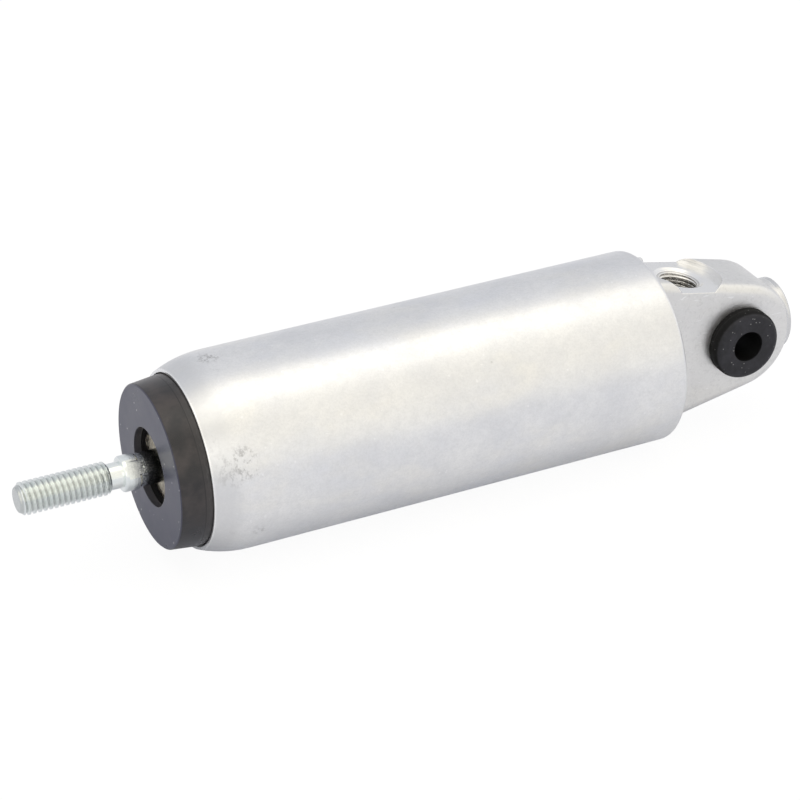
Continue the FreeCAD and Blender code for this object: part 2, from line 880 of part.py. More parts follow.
def export_parts():
    """Write one STEP file for each sub-part."""
    os.makedirs("parts", exist_ok=True)
    for item in finished:
        item.Shape.exportStep("parts/%s.step" % item.Label)


fill_sheet()
make_housing()
make_pivot_bush()
make_end_cap()
make_cap_o_ring()
make_wiper_seal_washer()
make_rod_wiper_felt()
make_wiper_plate()
make_spring_seat()
make_stroke_sleeve()
make_return_spring()
make_bump_stop()
make_piston()
make_piston_cup_seal()
make_cup_clamp_plate()
make_cup_clamp_screw()
make_piston_felt_ring()
make_piston_wear_ring()
make_ball_seat()
make_ball_retainer()
make_retainer_snap_ring()
make_piston_rod()
doc.recompute()
check_shapes()
export_parts()
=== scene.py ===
import json
import math
import random

import bmesh
import bpy
from mathutils import Matrix, Vector


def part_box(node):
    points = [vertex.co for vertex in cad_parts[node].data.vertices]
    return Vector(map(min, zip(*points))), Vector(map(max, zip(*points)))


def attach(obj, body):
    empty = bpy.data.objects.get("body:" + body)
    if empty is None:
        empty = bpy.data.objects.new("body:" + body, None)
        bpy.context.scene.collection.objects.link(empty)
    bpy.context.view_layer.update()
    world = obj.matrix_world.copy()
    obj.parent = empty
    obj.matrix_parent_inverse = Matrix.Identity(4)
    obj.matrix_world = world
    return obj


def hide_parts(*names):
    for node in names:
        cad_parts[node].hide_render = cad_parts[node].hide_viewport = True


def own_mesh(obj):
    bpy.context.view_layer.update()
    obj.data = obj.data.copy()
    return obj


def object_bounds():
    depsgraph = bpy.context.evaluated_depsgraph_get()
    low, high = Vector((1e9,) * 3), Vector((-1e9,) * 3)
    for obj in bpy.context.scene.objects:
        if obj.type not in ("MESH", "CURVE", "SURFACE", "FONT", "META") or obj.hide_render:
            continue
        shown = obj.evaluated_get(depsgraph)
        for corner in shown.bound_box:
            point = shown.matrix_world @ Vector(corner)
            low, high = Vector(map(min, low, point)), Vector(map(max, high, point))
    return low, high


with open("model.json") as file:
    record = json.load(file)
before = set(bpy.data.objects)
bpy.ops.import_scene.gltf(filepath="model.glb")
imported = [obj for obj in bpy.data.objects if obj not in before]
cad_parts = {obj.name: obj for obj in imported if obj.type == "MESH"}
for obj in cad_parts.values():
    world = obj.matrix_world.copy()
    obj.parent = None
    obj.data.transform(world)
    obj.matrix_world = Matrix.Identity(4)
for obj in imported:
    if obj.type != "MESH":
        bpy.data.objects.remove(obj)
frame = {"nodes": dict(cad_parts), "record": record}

CAD_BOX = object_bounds()
MM = 0.001
NODES = frame["nodes"]

# ---- sizes in millimetres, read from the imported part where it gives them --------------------

MOUNTS = {mount["name"]: mount for mount in frame["record"]["mounts"]}


def millimetres(node):
    """A node's lowest and highest corners at rest, in millimetres."""
    return [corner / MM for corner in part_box(node)]


ROD_LOW, ROD_HIGH = millimetres("piston_rod")
ROD_RADIUS = MOUNTS["rod_thread"]["dims"]["r_mm"]
ROD_TIP, ROD_TIP_RADIUS, ROD_TIP_EDGE = ROD_HIGH.x, 2.0, 0.35
BALL_RADIUS = ROD_HIGH.y
BALL_CENTRE = ROD_LOW.x + BALL_RADIUS
COLLAR_BACK, COLLAR_FRONT, COLLAR_RADIUS, COLLAR_ROUND, COLLAR_CHAMFER = 118.3, 121.1, 3.25, 0.45, 0.3
NECK_RADIUS = 2.35
FLAT_BACK, FLAT_FRONT, FLAT_HALF_WIDTH, FLAT_TURN = 117.3, 120.3, 2.75, math.radians(39.5)
THREAD_LENGTH = MOUNTS["rod_thread"]["dims"]["length_mm"]
THREAD_FRONT = MOUNTS["rod_thread"]["pos_m"][0] / MM + THREAD_LENGTH / 2
THREAD_LEAD, THREAD_FADE, THREAD_DEPTH, ROD_PITCH = 0.5, 0.6, 0.52, 1.0
# rolling leaves a shallow seam along a crest, this share of the thread's depth
CREST_SEAM = 0.34
ROD_SEGMENTS, PORT_SEGMENTS, RINGS_A_TURN = 144, 96, 20
THREAD_BACK = THREAD_FRONT - THREAD_LENGTH - THREAD_LEAD

PORT_FACE = Vector(MOUNTS["air_port_face"]["pos_m"]) / MM
PORT_CENTRE = Vector((PORT_FACE.x, 0, PORT_FACE.z))
PORT_AXIS = MOUNTS["air_port"]["axis"]
PORT_TILT = math.atan2(-PORT_AXIS[0], PORT_AXIS[2])
PORT_FACE_RADIUS = 8.0
PORT_SINK_RADIUS, PORT_SINK_DEPTH = 4.8, 0.46
PORT_OUTER = MOUNTS["air_port"]["dims"]["r_mm"] - 0.02
PORT_ROOT, PORT_CREST, PORT_PITCH, PORT_RUN_IN = PORT_OUTER - 0.05, 3.57, 0.75, 0.2
PORT_TOP, PORT_BOTTOM = PORT_SINK_DEPTH + 0.02, 6.5
# the milled look reaches this far above the port's face and this far below it
PORT_LOOK_HEIGHT, PORT_LOOK_DEPTH = 1.6, PORT_BOTTOM + 3.0

FELT_FRONT = millimetres("rod_wiper_felt")[1].x
CAP_FRONT = millimetres("end_cap")[1].x
CAP_HOLE_RADIUS = 7.2
RIM_FRONT = millimetres("housing")[1].x
BARREL_BACK, SWAGE_START, STUB_FRONT = 17.5, 101.5, -10.1
BUSH_RADIUS = millimetres("pivot_bush")[1].x
BUSH_END = millimetres("pivot_bush")[1].y
BUSH_HOLE_RADIUS = MOUNTS["pivot_bore"]["dims"]["r_mm"]


# ---- shader graphs --------------------------------------------------------------------------


class Graph:
    """A node tree with short calls for the nodes that the materials use."""

    def __init__(self, tree):
        self.tree = tree
        tree.nodes.clear()

    def node(self, kind, settings=None, **inputs):
        """A new node, with its settings and its inputs given by name."""
        made = self.tree.nodes.new("ShaderNode" + kind)
        for name, value in (settings or {}).items():
            setattr(made, name, value)
        for name, value in inputs.items():
            self.feed(made.inputs[name.replace("_", " ")], value)
        return made

    def feed(self, socket, value):
        """Link another node's output to a socket, or give the socket a plain value."""
        if isinstance(value, bpy.types.NodeSocket):
            self.tree.links.new(value, socket)
        elif value is not None:
            socket.default_value = value

    def math(self, operation, a, b=None):
        made = self.node("Math", {"operation": operation})
        for socket, value in zip(made.inputs, (a, b)):
            self.feed(socket, value)
        return made.outputs[0]

    def times(self, a, b):
        return self.math("MULTIPLY", a, b)

    def smooth(self, value, low, high, to_low=0.0, to_high=1.0):
        """A soft step from to_low at low to to_high at high."""
        made = self.node("MapRange", {"interpolation_type": "SMOOTHSTEP"})
        for name, number in (("Value", value), ("From Min", low), ("From Max", high),
                             ("To Min", to_low), ("To Max", to_high)):
            self.feed(made.inputs[name], number)
        return made.outputs[0]

    def band(self, value, middle, half_width):
        """One within half_width of the middle, nothing past twice that."""
        off = self.math("ABSOLUTE", self.math("SUBTRACT", value, middle))
        return self.smooth(off, 2 * half_width, half_width)

    def noise(self, vector, scale, detail=3.0, roughness=0.55, distortion=0.0):
        made = self.node("TexNoise", None, Vector=vector, Scale=scale, Detail=detail,
                         Roughness=roughness, Distortion=distortion)
        return made.outputs["Fac"]

    def specks(self, vector, scale, size, share, seed):
        """Round dots of varied size in a share of the cells."""
        moved = self.node("VectorMath", {"operation": "ADD"})
        self.feed(moved.inputs[0], vector)
        moved.inputs[1].default_value = (seed, seed * 0.7, -seed)
        cells = self.node("TexVoronoi", None, Vector=moved.outputs[0], Scale=scale)
        pick = self.node("SeparateColor", None, Color=cells.outputs["Color"])
        chosen = self.math("LESS_THAN", pick.outputs[0], share)
        reach = self.times(pick.outputs[1], size)
        edge = self.math("SUBTRACT", reach, cells.outputs["Distance"])
        dot = self.smooth(edge, 0.0, size * 0.35)
        return self.times(dot, chosen)

    def mix(self, factor, a, b):
        """A colour between a and b."""
        made = self.node("Mix", {"data_type": "RGBA"})
        self.feed(made.inputs[0], factor)
        self.feed(made.inputs[6], a)
        self.feed(made.inputs[7], b)
        return made.outputs[2]

    def lay(self, under, over, mask, amount):
        """One colour laid over another where the mask is, in that amount."""
        return self.mix(self.times(mask, amount), under, over)

    def blend(self, factor, a, b):
        """A number between a and b."""
        made = self.node("Mix", {"data_type": "FLOAT"})
        self.feed(made.inputs[0], factor)
        self.feed(made.inputs[2], a)
        self.feed(made.inputs[3], b)
        return made.outputs[0]

    def stretched(self, vector, scale):
        """The vector scaled along its axes, so that a texture on it stretches."""
        return self.node("Mapping", None, Vector=vector, Scale=scale).outputs[0]

    def plane(self, x, y):
        """A texture's place made of two lengths."""
        return self.node("CombineXYZ", None, X=x, Y=y).outputs[0]

    def soft_edges(self, radius):
        """A normal that rounds sharp edges off in the picture only."""
        return self.node("Bevel", {"samples": 6}, Radius=radius).outputs[0]

    def bump(self, height, distance, strength, normal=None):
        made = self.node("Bump", None, Height=height, Distance=distance, Strength=strength)
        self.feed(made.inputs["Normal"], normal)
        return made.outputs[0]


def grey(value, tint=(1, 1, 1)):
    """A grey of that brightness, tinted."""
    return (value * tint[0], value * tint[1], value * tint[2], 1)


class Surface(Graph):
    """A material's graph, with the object's own coordinates and a Principled shader."""

    def __init__(self, name):
        self.material = bpy.data.materials.new(name)
        self.material.use_nodes = True
        super().__init__(self.material.node_tree)
        self.point = self.node("TexCoord").outputs["Object"]
        split = self.node("SeparateXYZ", None, Vector=self.point)
        self.x, self.y, self.z = split.outputs

    def radius(self, a, b):
        """The distance from an axis, given how far a point is from it in two directions."""
        squares = self.math("ADD", self.math("POWER", a, 2.0), self.math("POWER", b, 2.0))
        return self.math("SQRT", squares)

    def finish(self, colour, metallic, roughness, normal, **more):
        """Join it all in a Principled shader and hand over the material."""
        shader = self.node("BsdfPrincipled", None, Metallic=metallic, Roughness=roughness)
        self.feed(shader.inputs["Base Color"], colour)
        self.feed(shader.inputs["Normal"], normal)
        for name, value in more.items():
            self.feed(shader.inputs[name.replace("_", " ")], value)
        output = self.node("OutputMaterial")
        self.tree.links.new(shader.outputs[0], output.inputs["Surface"])
        return self.material


# ---- materials ------------------------------------------------------------------------------


def port_height(s):
    """How far a point is above the port's milled face, in metres."""
    along = s.times(s.math("SUBTRACT", s.x, PORT_CENTRE.x * MM), -math.sin(PORT_TILT))
    up = s.times(s.math("SUBTRACT", s.z, PORT_CENTRE.z * MM), math.cos(PORT_TILT))
    return s.math("ADD", along, up)


def port_distance(s):
    """How far a point is from the port's axis, in metres."""
    across = s.times(s.math("SUBTRACT", s.x, PORT_CENTRE.x * MM), math.cos(PORT_TILT))
    rise = s.times(s.math("SUBTRACT", s.z, PORT_CENTRE.z * MM), math.sin(PORT_TILT))
    return s.radius(s.math("ADD", across, rise), s.y)


def housing_masks(s):
    """Which part of the housing a point is on: machined port, turned stub or cast lug."""
    away, height = port_distance(s), port_height(s)
    near_port = s.smooth(away, (PORT_FACE_RADIUS + 0.15) * MM, (PORT_FACE_RADIUS + 0.05) * MM)
    hole_edge = PORT_SINK_RADIUS + 0.4
    in_hole = s.smooth(away, (hole_edge + 0.2) * MM, hole_edge * MM)
    above_bottom = s.smooth(height, -(PORT_LOOK_DEPTH + 0.5) * MM, -PORT_LOOK_DEPTH * MM)
    in_hole = s.times(in_hole, above_bottom)
    above_face = s.smooth(height, -0.10 * MM, -0.04 * MM)
    below_top = s.smooth(height, (PORT_LOOK_HEIGHT + 0.6) * MM, PORT_LOOK_HEIGHT * MM)
    port = s.times(near_port, s.math("MAXIMUM", above_face, in_hole))
    port = s.times(port, below_top)
    stub = s.smooth(s.x, STUB_FRONT * MM, (STUB_FRONT - 0.5) * MM)
    lug = s.smooth(s.x, (BARREL_BACK + 0.4) * MM, (BARREL_BACK - 0.2) * MM)
    machined = s.math("MAXIMUM", port, stub)
    cast = s.times(lug, s.math("SUBTRACT", 1.0, machined))
    return port, stub, machined, cast


def turned_lines(s):
    """Fine tool marks: rings round the port and rings round the stub."""
    port_place = s.plane(port_distance(s), port_height(s))
    stub_place = s.plane(s.radius(s.y, s.z), s.x)
    return s.noise(port_place, 1500, 2), s.noise(stub_place, 2500, 2)


def housing_colour(s, machined, cast, rim, mottle, sand, smear):
    """Pale aluminium with faint warm and cool blotches, grain, pits and smears, painted glint
    highlights, a painted highlight on the rim and painted shade over the rolled shoulder.
    """
    cloud = s.noise(s.point, 85, 4, 0.6)
    warm = s.noise(s.stretched(s.point, (0.5, 1, 1)), 130, 3, 0.5)
    cool = s.noise(s.stretched(s.point, (0.6, 1.2, 0.9)), 105, 3, 0.5)
    pits = s.specks(s.point, 470, 0.16, 0.07, 0.3)
    # painted highlights: small white dots that stand for glints of light
    glints = s.specks(s.point, 800, 0.26, 0.26, 1.7)
    cluster = s.smooth(s.noise(s.point, 150, 2, 0.5), 0.50, 0.62)
    flakes = s.smooth(s.noise(s.stretched(s.point, (1, 2.2, 1.4)), 1100, 5, 0.75, 1.2), 0.60, 0.68)
    flakes = s.times(flakes, cluster)
    colour = s.mix(s.smooth(cloud, 0.3, 0.7), grey(0.80, (0.995, 1, 1.012)),
                   grey(0.89, (1.0, 0.998, 0.988)))
    colour = s.mix(s.smooth(warm, 0.48, 0.68, 0.0, 0.6), colour, grey(0.88, (1.015, 1.0, 0.955)))
    colour = s.mix(s.smooth(cool, 0.52, 0.70, 0.0, 0.5), colour, grey(0.84, (0.975, 0.99, 1.03)))
    colour = s.mix(s.smooth(mottle, 0.40, 0.72, 0.0, 0.26), colour, grey(0.68, (0.99, 1, 1.01)))
    colour = s.mix(s.smooth(sand, 0.35, 0.68, 0.0, 0.20), colour, grey(0.60))
    colour = s.lay(colour, grey(1.0), flakes, 0.55)
    colour = s.lay(colour, grey(0.40, (1, 0.97, 0.93)), pits, 0.30)
    colour = s.lay(colour, grey(1.0), glints, 0.40)
    colour = s.lay(colour, grey(0.30, (1, 0.98, 0.96)), smear, 0.60)
    colour = s.lay(colour, grey(0.75, (1.0, 0.985, 0.95)), cast, 0.55)
    grit = s.smooth(s.noise(s.point, 1300, 4, 0.75), 0.50, 0.66, 0.0, 0.22)
    colour = s.lay(colour, grey(0.50, (1.0, 0.985, 0.96)), cast, grit)
    marks = s.smooth(s.noise(s.stretched(s.point, (1, 6, 4)), 300, 4, 0.7, 0.5), 0.63, 0.68, 0.0, 0.6)
    colour = s.lay(colour, grey(1.0), cast, marks)
    colour = s.mix(machined, colour, grey(0.88, (1, 0.995, 0.98)))
    stub = s.smooth(s.x, STUB_FRONT * MM, (STUB_FRONT - 0.5) * MM)
    colour = s.lay(colour, grey(0.62), stub, 0.75)
    # painted shade: the rolled shoulder past the swage start is darkened
    rolled = s.smooth(s.x, (SWAGE_START + 2.5) * MM, (SWAGE_START + 6.0) * MM)
    colour = s.lay(colour, grey(0.68, (0.99, 0.995, 1.0)), rolled, 0.60)
    # painted highlight: the rim's thin lip is lightened towards white
    return s.lay(colour, grey(0.98, (1, 0.995, 0.98)), rim, 0.7)


def smears(s):
    """Soft handling smears in patches just behind the rolled rim."""
    patch = s.smooth(s.noise(s.stretched(s.point, (0.6, 1, 1)), 95, 2, 0.4), 0.55, 0.62)
    broken = s.smooth(s.noise(s.stretched(s.point, (1.4, 1, 1)), 640, 5, 0.75), 0.48, 0.62)
    near_rim = s.band(s.x, (RIM_FRONT - 5.5) * MM, 3.0 * MM)
    return s.times(s.times(patch, broken), near_rim)


def aluminium_housing():
    """Matt barrel with a fine grain, a coarser cast lug and bright machined places."""
    s = Surface("housing_aluminium")
    port, stub, machined, cast = housing_masks(s)
    port_rings, stub_rings = turned_lines(s)
    mottle = s.noise(s.point, 620, 5, 0.7)
    sand = s.noise(s.point, 2300, 2, 0.8)
    grain = s.noise(s.point, 3800, 3, 0.7)
    scratches = s.noise(s.stretched(s.point, (1, 6, 1.5)), 420, 4, 0.65, 0.6)
    rim = s.smooth(s.x, (RIM_FRONT - 0.35) * MM, (RIM_FRONT - 0.1) * MM)
    smear = smears(s)
    rough = s.smooth(mottle, 0.3, 0.7, 0.28, 0.36)
    rough = s.math("ADD", rough, s.times(cast, 0.05))
    rough = s.math("ADD", rough, s.times(smear, 0.10))
    rough = s.blend(s.math("MAXIMUM", machined, rim), rough, 0.22)
    edges = s.soft_edges(0.25 * MM)
    normal = s.bump(grain, 0.010 * MM, 0.6, edges)
    normal = s.bump(sand, 0.020 * MM, s.math("ADD", 0.35, s.times(cast, 0.6)), normal)
    normal = s.bump(mottle, 0.05 * MM, s.math("ADD", 0.20, s.times(cast, 0.6)), normal)
    normal = s.bump(scratches, 0.05 * MM, s.times(cast, 0.5), normal)
    normal = s.bump(port_rings, 0.12 * MM, port, normal)
    normal = s.bump(stub_rings, 0.04 * MM, s.times(stub, 0.6), normal)
    colour = housing_colour(s, machined, cast, rim, mottle, sand, smear)
    return s.finish(colour, 1.0, rough, normal)


def aluminium_thread():
    """The port's cut thread: bright crests and roots darkened with painted shade."""
    s = Surface("port_thread_aluminium")
    away = port_distance(s)
    deep_shade = s.smooth(away, (PORT_CREST + 0.06) * MM, (PORT_OUTER - 0.12) * MM)
    torn = s.noise(s.point, 1500, 4, 0.7)
    colour = s.mix(s.smooth(torn, 0.35, 0.7), grey(0.90, (1, 0.99, 0.97)), grey(0.78, (1, 0.98, 0.94)))
    # painted shade: the thread's roots are darkened
    colour = s.lay(colour, grey(0.30, (1, 0.97, 0.94)), deep_shade, 0.5)
    return s.finish(colour, 1.0, s.smooth(torn, 0.3, 0.7, 0.18, 0.30), s.bump(torn, 0.015 * MM, 0.35))


def aluminium_turned():
    """The piston's plain turned aluminium, with rings of tool marks."""
    s = Surface("piston_aluminium")
    shade = 0.82
    rings = s.noise(s.plane(s.radius(s.y, s.z), s.x), 4200, 3)
    cloud = s.noise(s.point, 240, 4)
    colour = s.mix(s.smooth(cloud, 0.3, 0.7), grey(shade), grey(shade * 0.9, (1, 1, 0.985)))
    rough = s.smooth(rings, 0.3, 0.7, 0.22, 0.34)
    return s.finish(colour, 1.0, rough, s.bump(rings, 0.02 * MM, 0.5))


def cap_plastic():
    """Black satin plastic: a turned face painted lighter and bluer, partly as painted reflection, a
    browner side painted darker and bluer underneath as painted shade, a hole wall painted lighter as
    painted reflection, dust and a scuffed back edge.
    """
    s = Surface("cap_plastic")
    axle = s.radius(s.y, s.z)
    rings = s.noise(s.plane(axle, s.x), 3600, 2)
    fine = s.noise(s.point, 2600, 3)
    cloud = s.noise(s.point, 170, 4, 0.6)
    face = s.smooth(s.x, (CAP_FRONT - 0.22) * MM, (CAP_FRONT - 0.08) * MM)
    in_hole = s.smooth(axle, (CAP_HOLE_RADIUS + 0.2) * MM, (CAP_HOLE_RADIUS + 0.05) * MM)
    scuff_noise = s.noise(s.stretched(s.point, (3, 1, 1)), 700, 4, 0.7)
    back_edge = s.band(s.x, (RIM_FRONT + 0.35) * MM, 0.18 * MM)
    scuff = s.times(back_edge, s.smooth(scuff_noise, 0.4, 0.7))
    # the moulding has a fine witness line round it, beside the housing's rim
    line = s.band(s.x, (RIM_FRONT + 1.2) * MM, 0.06 * MM)
    behind = s.smooth(s.x, (RIM_FRONT + 1.25) * MM, (RIM_FRONT + 1.15) * MM)
    under = s.smooth(s.z, 1.0 * MM, -10.0 * MM)
    dust = s.math("MAXIMUM", s.specks(s.point, 360, 0.09, 0.16, 0.9),
                  s.specks(s.point, 900, 0.18, 0.12, 2.1))
    side = s.mix(s.smooth(cloud, 0.35, 0.65), grey(0.012, (1.10, 1, 1.08)),
                 grey(0.036, (1.22, 1, 0.96)))
    # painted shade: the side is darker and bluer towards the bottom
    side = s.lay(side, grey(0.007, (0.95, 1, 1.7)), under, 0.85)
    side = s.lay(side, grey(0.034, (1.10, 1, 1.0)), behind, 0.35)
    side = s.lay(side, grey(0.006), line, 0.7)
    # partly painted reflection: the face is lighter and bluer than the side
    front = s.mix(s.smooth(cloud, 0.3, 0.7), grey(0.035, (1, 1.03, 1.75)), grey(0.045, (1, 1.03, 1.70)))
    colour = s.mix(face, side, front)
    # painted reflection: the wall of the hole is lighter and bluer
    colour = s.lay(colour, grey(0.05, (1, 1, 1.25)), in_hole, 0.9)
    colour = s.lay(colour, grey(0.20), scuff, 0.12)
    colour = s.lay(colour, grey(0.60), dust, 0.9)
    rough = s.smooth(cloud, 0.3, 0.75, 0.27, 0.36)
    edges = s.soft_edges(0.25 * MM)
    normal = s.bump(rings, 0.014 * MM, 0.35, edges)
    normal = s.bump(fine, 0.012 * MM, 0.35, normal)
    normal = s.bump(behind, 0.05 * MM, 0.6, normal)
    return s.finish(colour, 0.0, rough, normal, IOR=1.52)


def black_rubber():
    """Moulded rubber: matt and faintly pitted, with dust and a parting line, and painted shade on the
    outer wall and in the bore.
    """
    s = Surface("black_rubber")
    bloom = s.noise(s.point, 420, 6, 0.7)
    pits = s.noise(s.point, 1900, 3)
    dust = s.math("MAXIMUM", s.specks(s.point, 1500, 0.26, 0.12, 1.3),
                  s.specks(s.point, 2600, 0.36, 0.20, 3.1))
    out = s.radius(s.x, s.z)
    along = s.math("ABSOLUTE", s.y)
    wall = s.smooth(out, (BUSH_RADIUS - 0.45) * MM, (BUSH_RADIUS - 0.15) * MM)
    seam = s.times(wall, s.band(along, (BUSH_END - 1.7) * MM, 0.05 * MM))
    in_bore = s.smooth(out, (BUSH_HOLE_RADIUS + 0.15) * MM, (BUSH_HOLE_RADIUS + 0.02) * MM)
    inside = s.times(in_bore, s.smooth(along, (BUSH_END - 0.02) * MM, (BUSH_END - 0.4) * MM))
    colour = s.mix(s.smooth(bloom, 0.35, 0.75), grey(0.011, (1, 1, 1.25)), grey(0.031, (1, 1, 1.22)))
    # painted shade: the flange's outer wall is darkened
    colour = s.lay(colour, grey(0.003), wall, 0.9)
    colour = s.lay(colour, grey(0.36), dust, 0.6)
    colour = s.lay(colour, grey(0.05), seam, 0.3)
    # painted shade: the inside of the bore is nearly black
    colour = s.mix(inside, colour, grey(0.003))
    rough = s.smooth(bloom, 0.3, 0.7, 0.46, 0.62)
    rough = s.blend(wall, rough, 0.92)
    edges = s.soft_edges(0.2 * MM)
    normal = s.bump(pits, 0.035 * MM, 0.55, edges)
    return s.finish(colour, 0.0, rough, normal, IOR=1.38)


def cream_felt():
    """Pressed wool: crossing fibres in several directions and a woolly sheen."""
    s = Surface("cream_felt")
    one = s.noise(s.stretched(s.point, (1, 1, 5)), 1500, 4, 0.6, 0.8)
    two = s.noise(s.stretched(s.point, (1, 5, 1)), 1500, 4, 0.6, 0.8)
    fibres = s.math("MAXIMUM", one, two)
    cloud = s.noise(s.point, 300, 3)
    colour = s.mix(s.smooth(fibres, 0.4, 0.7), grey(0.52, (1, 0.89, 0.70)), grey(0.92, (1, 0.94, 0.80)))
    colour = s.mix(s.smooth(cloud, 0.5, 0.75, 0, 0.4), colour, grey(0.34, (1, 0.86, 0.68)))
    normal = s.bump(fibres, 0.15 * MM, 0.9)
    return s.finish(colour, 0.0, 0.95, normal, Sheen_Weight=0.4, Sheen_Roughness=0.5)


def rod_zinc():
    """Bright zinc with a faint green-blue cast, grime where the wiper runs and thread roots darkened
    with painted shade.
    """
    s = Surface("rod_zinc")
    axle = s.radius(s.y, s.z)
    cloud = s.noise(s.point, 420, 5, 0.6)
    grain = s.noise(s.point, 2600, 4, 0.7)
    lines = s.noise(s.plane(s.x, axle), 3000, 2)
    on_thread = s.smooth(s.x, (THREAD_BACK + 0.1) * MM, (THREAD_BACK + 0.6) * MM)
    root = s.times(s.smooth(axle, (ROD_RADIUS - 0.36) * MM, (ROD_RADIUS - 0.5) * MM), on_thread)
    coarse = s.times(s.math("SUBTRACT", s.noise(s.point, 600, 4, 0.7), 0.5), 2.0 * MM)
    flecks = s.times(s.math("SUBTRACT", s.noise(s.point, 3800, 3, 0.8), 0.5), 9.0 * MM)
    ragged = s.math("ADD", s.x, s.math("ADD", coarse, flecks))
    grime = s.smooth(ragged, (FLAT_BACK + 0.9) * MM, (FLAT_BACK - 0.6) * MM)
    # the felt leaves the grime where it rests, so the shank behind it is clean
    grime = s.times(grime, s.smooth(ragged, (FELT_FRONT - 4.0) * MM, (FELT_FRONT - 1.5) * MM))
    colour = s.mix(s.smooth(cloud, 0.3, 0.7), grey(0.88, (0.955, 1.0, 0.985)),
                   grey(0.97, (0.975, 1.0, 0.97)))
    colour = s.lay(colour, grey(0.76, (0.96, 1.0, 0.975)), on_thread, 0.5)
    # painted shade: the thread roots are darkened
    colour = s.lay(colour, grey(0.32, (0.96, 1.0, 0.97)), root, 0.45)
    thin = s.smooth(s.noise(s.point, 4500, 3, 0.8), 0.48, 0.60, 0.88, 0.45)
    colour = s.lay(colour, grey(0.04), grime, thin)
    rough = s.smooth(cloud, 0.3, 0.7, 0.14, 0.24)
    tip = s.smooth(s.x, (THREAD_FRONT + 0.2) * MM, (ROD_TIP - 0.2) * MM)
    dents = s.noise(s.point, 1100, 3, 0.6)
    worn = s.noise(s.point, 1700, 3, 0.7)
    normal = s.bump(lines, 0.01 * MM, 0.3)
    normal = s.bump(grain, 0.010 * MM, 0.5, normal)
    normal = s.bump(worn, 0.05 * MM, s.times(on_thread, 0.7), normal)
    normal = s.bump(dents, 0.12 * MM, s.times(tip, 0.8), normal)
    return s.finish(colour, 1.0, rough, normal)


def plated_steel():
    """Zinc-plated pressings inside the cylinder."""
    s = Surface("plated_steel")
    cloud = s.noise(s.point, 350, 5)
    grain = s.noise(s.point, 2400, 3)
    colour = s.mix(s.smooth(cloud, 0.3, 0.7), grey(0.58, (0.98, 1, 1.02)), grey(0.68, (1, 0.99, 0.93)))
    return s.finish(colour, 1.0, s.smooth(cloud, 0.3, 0.7, 0.28, 0.42), s.bump(grain, 0.01 * MM, 0.5))


def spring_steel():
    """Oiled spring wire, dark with lighter rubbed patches."""
    s = Surface("spring_steel")
    rub = s.noise(s.point, 500, 5)
    grain = s.noise(s.point, 3000, 2)
    colour = s.mix(s.smooth(rub, 0.4, 0.7), grey(0.16, (1, 1, 1.05)), grey(0.42))
    return s.finish(colour, 1.0, s.smooth(rub, 0.3, 0.7, 0.25, 0.40), s.bump(grain, 0.01 * MM, 0.4))


def natural_plastic():
    """Natural acetal: milky, a little see-through, with faint moulding marks."""
    s = Surface("ring_plastic")
    cloud = s.noise(s.point, 300, 4)
    fine = s.noise(s.point, 2200, 2)
    colour = s.mix(s.smooth(cloud, 0.3, 0.7), grey(0.72, (1, 0.985, 0.92)), grey(0.80, (1, 0.99, 0.95)))
    return s.finish(colour, 0.0, 0.42, s.bump(fine, 0.01 * MM, 0.3), Subsurface_Weight=0.1,
                    Subsurface_Scale=0.5 * MM)


def dress_cad_nodes(materials):
    """Give every CAD node the material of its slot."""
    slots = {part["node"]: part["material_slot"] for part in frame["record"]["subparts"]}
    for name, node in NODES.items():
        node.data.materials.clear()
        node.data.materials.append(materials[slots[name]])


# ---- meshes ---------------------------------------------------------------------------------


def add_piece(name, mesh, material, body):
    """Put a finished mesh in the scene, on its body and in its slot."""
    mesh.materials.append(material)
    piece = bpy.data.objects.new(name, mesh)
    bpy.context.scene.collection.objects.link(piece)
    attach(piece, body)
    return piece


def finish_mesh(bm, name, sharp_degrees):
    """A smooth mesh that stays sharp where faces meet at more than that angle."""
    bmesh.ops.recalc_face_normals(bm, faces=bm.faces)
    for face in bm.faces:
        face.smooth = True
    mesh = bpy.data.meshes.new(name)
    bm.to_mesh(mesh)
    bm.free()
    mesh.set_sharp_from_angle(angle=math.radians(sharp_degrees))
    return mesh


def even_angles(count):
    """That many angles, evenly round a turn."""
    return [2 * math.pi * k / count for k in range(count)]


def rod_angles():
    """Even angles, with the nearest ones moved onto the edges of the spanner flats."""
    angles = even_angles(ROD_SEGMENTS)
    for radius in (ROD_RADIUS, COLLAR_RADIUS):
        half = math.acos(FLAT_HALF_WIDTH / radius)
        for edge in (FLAT_TURN - half, FLAT_TURN + half):
            for turned in (edge, edge + math.pi):
                place = turned % (2 * math.pi)
                nearest = min(range(ROD_SEGMENTS), key=lambda k: abs(angles[k] - place))
                angles[nearest] = place
    return angles


def ring_of_points(bm, x, radius_at, angles):
    """Points round the X axis at x, each as far out as radius_at says."""
    made = []
    for angle in angles:
        r = radius_at(x, angle)
        made.append(bm.verts.new((x * MM, r * math.cos(angle) * MM, r * math.sin(angle) * MM)))
    return made


def bridge(bm, one, other):
    """A band of faces between two rings of points."""
    count = len(one)
    for k in range(count):
        after = (k + 1) % count
        bm.faces.new((one[k], one[after], other[after], other[k]))


def close_with_point(bm, ring, x):
    """A fan of faces from a ring to a point on the axis at x."""
    tip = bm.verts.new((x * MM, 0, 0))
    count = len(ring)
    for k in range(count):
        bm.faces.new((ring[k], ring[(k + 1) % count], tip))


def thread_profile(phase, depth, seam=0.0):
    """Depth below the crest of a 60 degree thread, with a seam along the crest and a rounded root."""
    crest_end, root_start, rounded = 0.28, 0.90, 0.14
    away = abs((phase % 1.0) - 0.5) * 2
    if away < crest_end:
        return seam * depth * (1 - away / crest_end)
    share = min((away - crest_end) / (root_start - crest_end), 1.0)
    straight = 1 - rounded
    if share > straight:
        share = straight + rounded * math.sin((share - straight) / rounded * math.pi / 2)
    return depth * share


